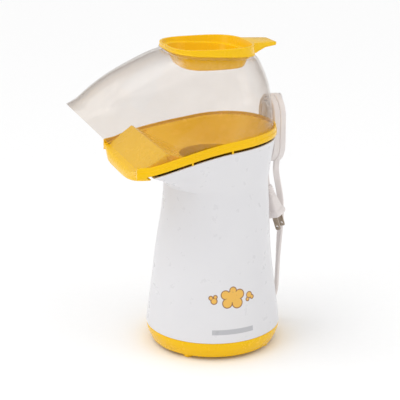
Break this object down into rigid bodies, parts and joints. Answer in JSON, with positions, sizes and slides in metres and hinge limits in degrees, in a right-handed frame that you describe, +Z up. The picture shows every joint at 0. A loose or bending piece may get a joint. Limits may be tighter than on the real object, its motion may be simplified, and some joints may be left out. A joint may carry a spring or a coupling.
{
  "type": "hot-air popcorn maker",
  "caption": "Free-standing hot-air popcorn maker with a white housing, yellow base and chute tray, clear chute cover, lift-off butter cup and a cord wrapped at the back.",
  "frame": {"origin": "on the standing surface, at the middle of the width and of the whole depth from mouth tip to cup handle, cord left out", "axes": "+Z up, along the height; -Y out of the mouth of the chute, which is the front; +X across, to the right of somebody who looks into the mouth"},
  "size_m": [0.1564, 0.2609, 0.35],
  "materials": {
    "yellow_plastic": "glossy moulded yellow, semi-translucent at the edges",
    "white_plastic": "smooth moulded white, soft gloss",
    "clear_plastic": "clear moulded, glossy",
    "black_plastic": "matte heat-resistant moulding",
    "white_inner_plastic": "unpolished inner moulding",
    "chamber_aluminium": "spun, satin",
    "steel": "bright zinc plated",
    "blade_brass": "nickel-plated brass, slightly worn",
    "nut_brass": "turned",
    "mica": "flaky mica sheet",
    "coil_wire": "heat-tinted resistance wire",
    "cord_pvc": "satin soft PVC",
    "board": "coated circuit board",
    "black_wire": "PVC sleeve",
    "white_wire": "PVC sleeve"
  },
  "bodies": {
    "base": {"base_pan": "yellow_plastic", "base_screw_1": "steel", "base_screw_2": "steel", "base_screw_3": "steel", "housing": "white_plastic", "cord_wrap": "white_plastic", "cord_wrap_screw_1": "steel", "cord_wrap_screw_2": "steel", "popping_chamber": "chamber_aluminium", "chamber_deck": "black_plastic", "air_duct": "steel", "heater_frame": "mica", "heating_coil": "coil_wire", "thermostat": "black_plastic", "thermal_fuse": "steel", "fan_case": "black_plastic", "fan_case_screw_1": "steel", "fan_case_screw_2": "steel", "fan_case_screw_3": "steel", "motor_can": "steel", "motor_end_cap": "black_plastic", "motor_screw_1": "steel", "motor_screw_2": "steel", "rectifier_board": "board", "diode_1": "black_plastic", "diode_2": "black_plastic", "diode_3": "black_plastic", "diode_4": "black_plastic", "board_bracket": "white_inner_plastic", "terminal_block": "white_inner_plastic", "inner_wire_live": "black_wire", "inner_wire_neutral": "white_wire", "strain_relief": "cord_pvc", "cord_lead": "cord_pvc", "cord_hank": "cord_pvc", "plug_lead": "cord_pvc", "plug_body": "cord_pvc", "plug_blade_1": "blade_brass", "plug_blade_2": "blade_brass"},
    "rotor": {"motor_shaft": "steel", "fan_impeller": "black_plastic", "shaft_nut": "nut_brass"},
    "chute": {"chute_tray": "yellow_plastic", "clear_cover": "clear_plastic"},
    "butter_cup": {"butter_cup": "yellow_plastic"}
  },
  "joints": [
    {"name": "fan_spin", "type": "hinge", "parent": "base", "child": "rotor", "pos_m": [0, 0.03704, 0.09], "axis": [0, 0, 1], "continuous": true},
    {"name": "chute_lift", "type": "slide", "parent": "base", "child": "chute", "axis": [0, 0, 1], "range_m": [0, 0.06]},
    {"name": "butter_cup_lift", "type": "slide", "parent": "chute", "child": "butter_cup", "axis": [0, 0, 1], "range_m": [0, 0.04]}
  ]
}
